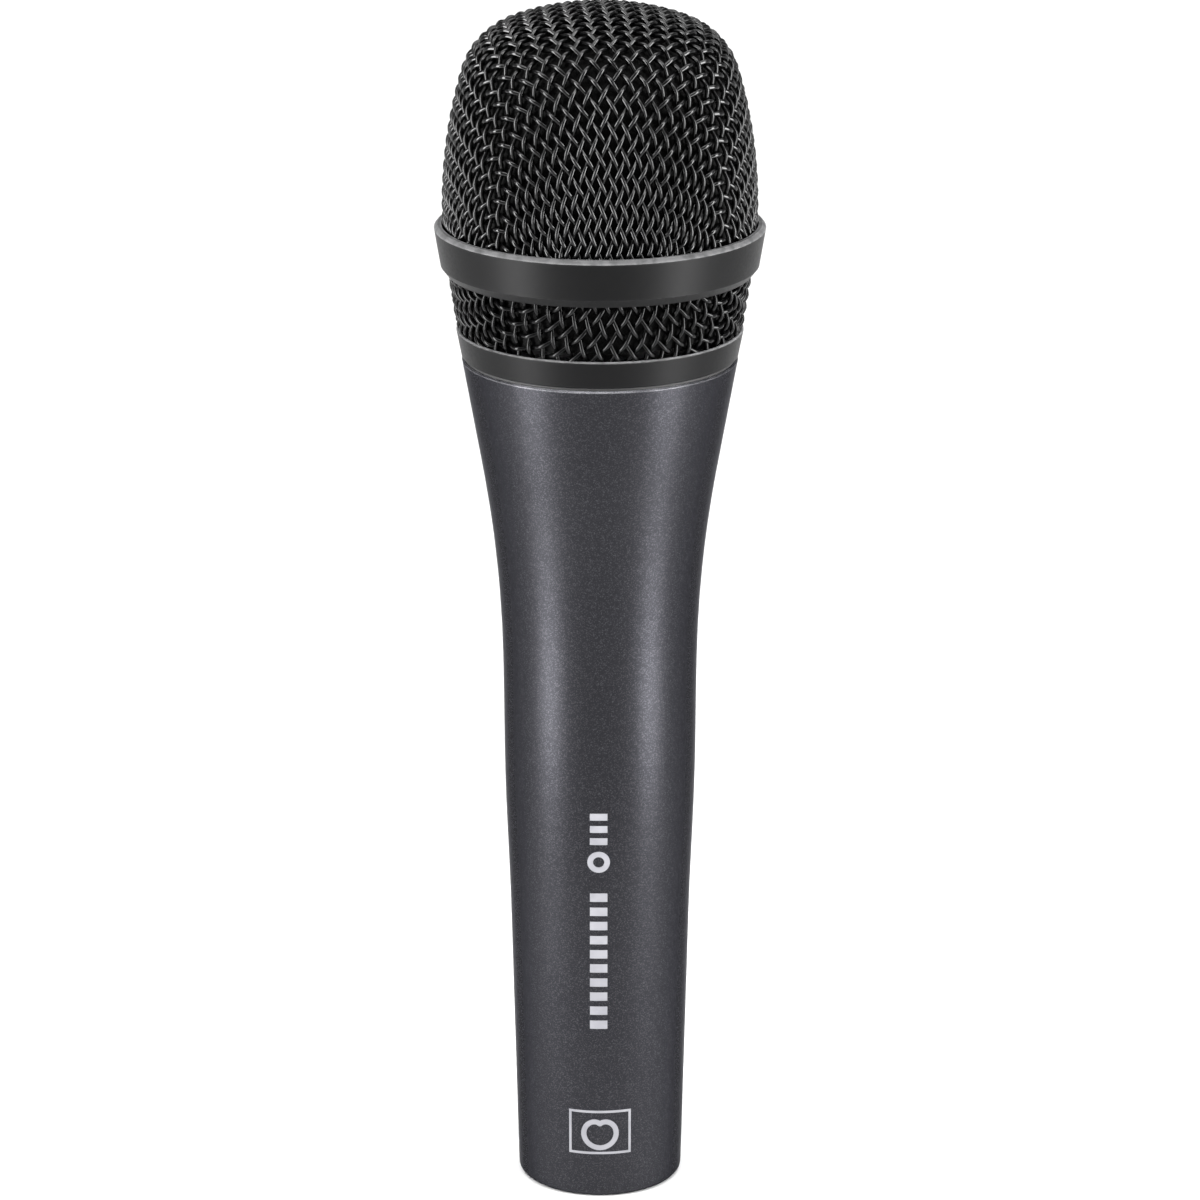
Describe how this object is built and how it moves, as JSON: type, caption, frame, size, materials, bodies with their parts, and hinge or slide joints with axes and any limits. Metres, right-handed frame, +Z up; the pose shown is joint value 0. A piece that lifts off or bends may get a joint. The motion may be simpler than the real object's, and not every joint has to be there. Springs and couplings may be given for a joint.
{
  "type": "dynamic microphone",
  "caption": "Handheld dynamic vocal microphone: slender flared handle with a male three-pin socket, screwed-on woven-wire head and a moving-coil capsule on a rubber mount.",
  "frame": {"origin": "centre of the handle's flat base face", "axes": "+Z up along the microphone towards its head, -Y the front, +Y the keyed side of the socket, +X to the right seen from the front"},
  "size_m": [0.048, 0.048, 0.18],
  "materials": {
    "handle_paint": "satin",
    "black_paint": "satin",
    "black_anodised": "satin",
    "wire": "satin",
    "foam": "matte",
    "rubber": "matte",
    "plastic": "matte",
    "felt": "matte",
    "film": "gloss",
    "steel": "satin",
    "nickel": "polished",
    "gold": "polished",
    "copper": "satin",
    "board": "satin",
    "lead_red": "satin",
    "lead_blue": "satin",
    "lead_yellow": "satin",
    "lead_black": "satin",
    "lead_green": "satin",
    "print_ink": "matte"
  },
  "bodies": {
    "handle": {"handle_shell": "handle_paint", "threaded_neck": "black_anodised", "mount_clip": "steel", "shock_mount": "rubber", "tail_bumper": "rubber", "transformer_cradle": "plastic", "transformer_core": "steel", "transformer_bobbin": "plastic", "transformer_winding": "copper", "capsule_lead_a": "lead_red", "capsule_lead_b": "lead_blue", "pin_lead_1": "lead_green", "pin_lead_2": "lead_yellow", "pin_lead_3": "lead_black", "xlr_shell": "nickel", "xlr_insulator": "plastic", "xlr_pin_1": "gold", "xlr_pin_2": "gold", "xlr_pin_3": "gold", "ground_spring": "nickel", "insert_screw": "steel"},
    "washer": {"seal_washer": "rubber"},
    "head": {"collar_ring": "black_paint", "lower_mesh": "wire", "grille_ring": "black_paint", "dome_mesh": "wire", "foam_liner": "foam", "foam_sleeve": "foam"},
    "capsule": {"front_cap": "plastic", "front_cloth": "felt", "clamp_ring": "steel", "pole_plate": "steel", "magnet": "nickel", "yoke_cup": "steel", "capsule_frame": "plastic", "acoustic_felt": "felt", "hum_coil": "copper", "rear_chamber": "plastic", "terminal_board": "board", "solder_tags": "nickel"},
    "coil": {"voice_coil": "copper", "diaphragm_dome": "film", "diaphragm_surround": "film"}
  },
  "joints": [
    {"name": "head_rise", "type": "slide", "parent": "handle", "child": "washer", "axis": [0, 0, 1], "range_m": [0, 0.0034]},
    {"name": "head_turn", "type": "hinge", "parent": "washer", "child": "head", "pos_m": [0, 0, 0.1286], "axis": [0, 0, 1], "range_deg": [0, 990]},
    {"name": "capsule_float", "type": "slide", "parent": "handle", "child": "capsule", "axis": [0, 0, 1], "range_m": [-0.0008, 0.0008], "stiffness_N_per_m": 2800, "deforming": ["shock_mount", "tail_bumper", "capsule_lead_a", "capsule_lead_b"]},
    {"name": "coil_stroke", "type": "slide", "parent": "capsule", "child": "coil", "axis": [0, 0, 1], "range_m": [-0.0003, 0.0003], "stiffness_N_per_m": 90, "deforming": ["diaphragm_surround"]}
  ],
  "couplings": [
    {"joint": "head_rise", "follows": "head_turn", "m_per_rad": 0.00019099}
  ]
}
